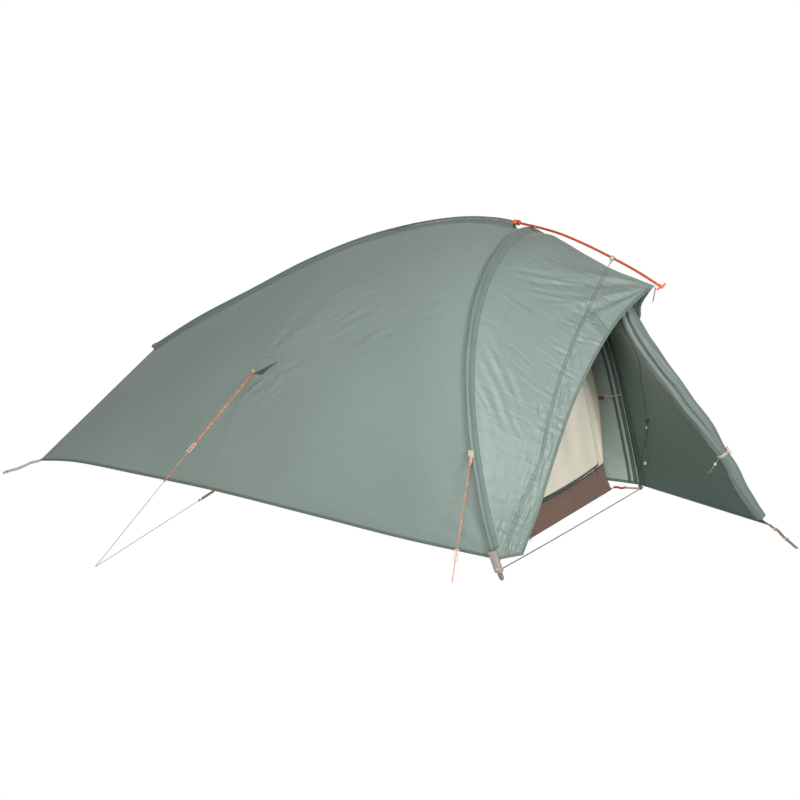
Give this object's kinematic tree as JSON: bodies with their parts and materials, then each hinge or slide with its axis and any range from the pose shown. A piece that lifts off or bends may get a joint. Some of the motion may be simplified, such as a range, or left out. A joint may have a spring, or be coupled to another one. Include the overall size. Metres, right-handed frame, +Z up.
{
  "type": "tent on poles",
  "caption": "Low ridge tent with a long ridge pole crossed by a hoop pole, a hanging inner tent and a porch with a rolled door",
  "frame": {"origin": "on the ground under the ridge, half way along the groundsheet", "axes": "+X out through the porch, +Y to the far side where the porch apex is pegged, +Z up"},
  "size_m": [3.4342, 2.6163, 1.2039],
  "materials": {
    "fly_cloth": "coated ripstop, slight sheen",
    "sleeve_cloth": "coated ripstop",
    "orange_pole": "anodised satin",
    "grey_pole": "anodised satin",
    "elastic": "covered elastic",
    "inner_cloth": "fine matte weave",
    "tub_cloth": "coated weave, semi-matte",
    "zip_tape": "matte tape and coil",
    "zip_metal": "satin",
    "orange_cord": "braided",
    "pale_cord": "fine braided",
    "grey_cord": "braided",
    "plastic": "moulded",
    "clear_plastic": "translucent moulded",
    "red_webbing": "woven",
    "brown_webbing": "woven",
    "webbing": "woven"
  },
  "bodies": {
    "tent": {"fly_near_side": "fly_cloth", "fly_far_side": "fly_cloth", "fly_rear_panel": "fly_cloth", "porch_near_wing": "fly_cloth", "rolled_porch_door": "fly_cloth", "porch_far_wing": "fly_cloth", "hoop_sleeve": "sleeve_cloth", "ridge_sleeve": "sleeve_cloth", "ridge_pole_section_1": "orange_pole", "ridge_pole_section_2": "orange_pole", "ridge_pole_section_3": "orange_pole", "ridge_pole_section_4": "orange_pole", "ridge_pole_section_5": "orange_pole", "hoop_pole_section_1": "grey_pole", "hoop_pole_section_2": "grey_pole", "hoop_pole_section_3": "grey_pole", "hoop_pole_section_4": "grey_pole", "hoop_pole_section_5": "grey_pole", "ridge_shock_cord": "elastic", "hoop_shock_cord": "elastic", "ridge_sleeve_mouth": "orange_pole", "ridge_rear_cup": "webbing", "ridge_tip_fitting": "orange_pole", "hoop_pocket_near": "webbing", "hoop_pocket_far": "webbing", "foot_to_foot_cord": "grey_cord", "groundsheet_tub": "tub_cloth", "inner_near_wall": "inner_cloth", "inner_far_wall": "inner_cloth", "inner_rear_wall": "inner_cloth", "inner_door_wall": "inner_cloth", "inner_door_zip": "zip_tape", "inner_clip_near": "plastic", "floor_strap_near": "red_webbing", "inner_clip_far": "plastic", "floor_strap_far": "red_webbing", "side_guyline_near": "orange_cord", "side_tether_near": "pale_cord", "hoop_guyline_near": "orange_cord", "hem_strap_near": "brown_webbing", "rear_strap_near": "webbing", "side_guyline_far": "orange_cord", "side_tether_far": "pale_cord", "hoop_guyline_far": "orange_cord", "hem_strap_far": "brown_webbing", "rear_strap_far": "webbing", "apex_strap": "brown_webbing", "ridge_clip_webbing": "webbing"},
    "door_flap": {"inner_door": "inner_cloth"},
    "inner_slider": {"inner_zip_slider": "zip_metal"},
    "inner_pull": {"inner_zip_pull": "orange_cord"},
    "porch_slider": {"porch_zip_slider": "zip_metal"},
    "porch_pull": {"porch_zip_pull": "orange_cord"},
    "side_adjuster_near": {"side_guy_adjuster_near": "plastic"},
    "side_adjuster_far": {"side_guy_adjuster_far": "plastic"},
    "hoop_adjuster_near": {"hoop_guy_adjuster_near": "plastic"},
    "hoop_adjuster_far": {"hoop_guy_adjuster_far": "plastic"},
    "pole_clip": {"ridge_clip": "clear_plastic"},
    "hanging_strap": {"tip_strap": "grey_cord"},
    "hanging_toggle": {"panel_toggle": "grey_cord"}
  },
  "joints": [
    {"name": "inner_door_swing", "type": "hinge", "parent": "tent", "child": "door_flap", "pos_m": [1.06408, 0.52, 0.13936], "axis": [-0.1163, -0.2178, 0.969], "range_deg": [-50, 12]},
    {"name": "inner_zip_slide", "type": "slide", "parent": "tent", "child": "inner_slider", "axis": [0.005, -0.9991, -0.0416], "range_m": [0, 0.41]},
    {"name": "inner_pull_lift", "type": "hinge", "parent": "inner_slider", "child": "inner_pull", "pos_m": [1.07849, 0.47, 0.12673], "axis": [0, -1, 0], "range_deg": [0, 80]},
    {"name": "porch_zip_slide", "type": "slide", "parent": "tent", "child": "porch_slider", "axis": [0.1463, 0.3604, 0.9213], "range_m": [0, 0.3]},
    {"name": "porch_pull_lift", "type": "hinge", "parent": "porch_slider", "child": "porch_pull", "pos_m": [1.25846, -0.59952, 0.15072], "axis": [1, 0, 0], "range_deg": [0, 80]},
    {"name": "side_adjuster_near_slide", "type": "slide", "parent": "tent", "child": "side_adjuster_near", "axis": [0.0138, -0.8314, -0.5555], "range_m": [-0.25, 0.12]},
    {"name": "side_adjuster_far_slide", "type": "slide", "parent": "tent", "child": "side_adjuster_far", "axis": [0.0137, 0.8374, -0.5464], "range_m": [-0.25, 0.12]},
    {"name": "hoop_adjuster_near_slide", "type": "slide", "parent": "tent", "child": "hoop_adjuster_near", "axis": [-0.0855, -0.1321, -0.9875], "range_m": [-0.2, 0.05]},
    {"name": "hoop_adjuster_far_slide", "type": "slide", "parent": "tent", "child": "hoop_adjuster_far", "axis": [-0.0838, 0.2412, -0.9668], "range_m": [-0.2, 0.05]},
    {"name": "pole_clip_turn", "type": "hinge", "parent": "tent", "child": "pole_clip", "pos_m": [1.28512, 0, 1.04432], "axis": [0.905, 0, -0.4254], "range_deg": [-12, 12]},
    {"name": "tip_strap_swing", "type": "hinge", "parent": "tent", "child": "hanging_strap", "pos_m": [1.452, 0, 0.941], "axis": [0, -1, 0], "range_deg": [-15, 25]},
    {"name": "panel_toggle_swing", "type": "hinge", "parent": "tent", "child": "hanging_toggle", "pos_m": [1.2655, 0.53722, 0.35355], "axis": [-1, 0, 0], "range_deg": [0, 35]}
  ]
}
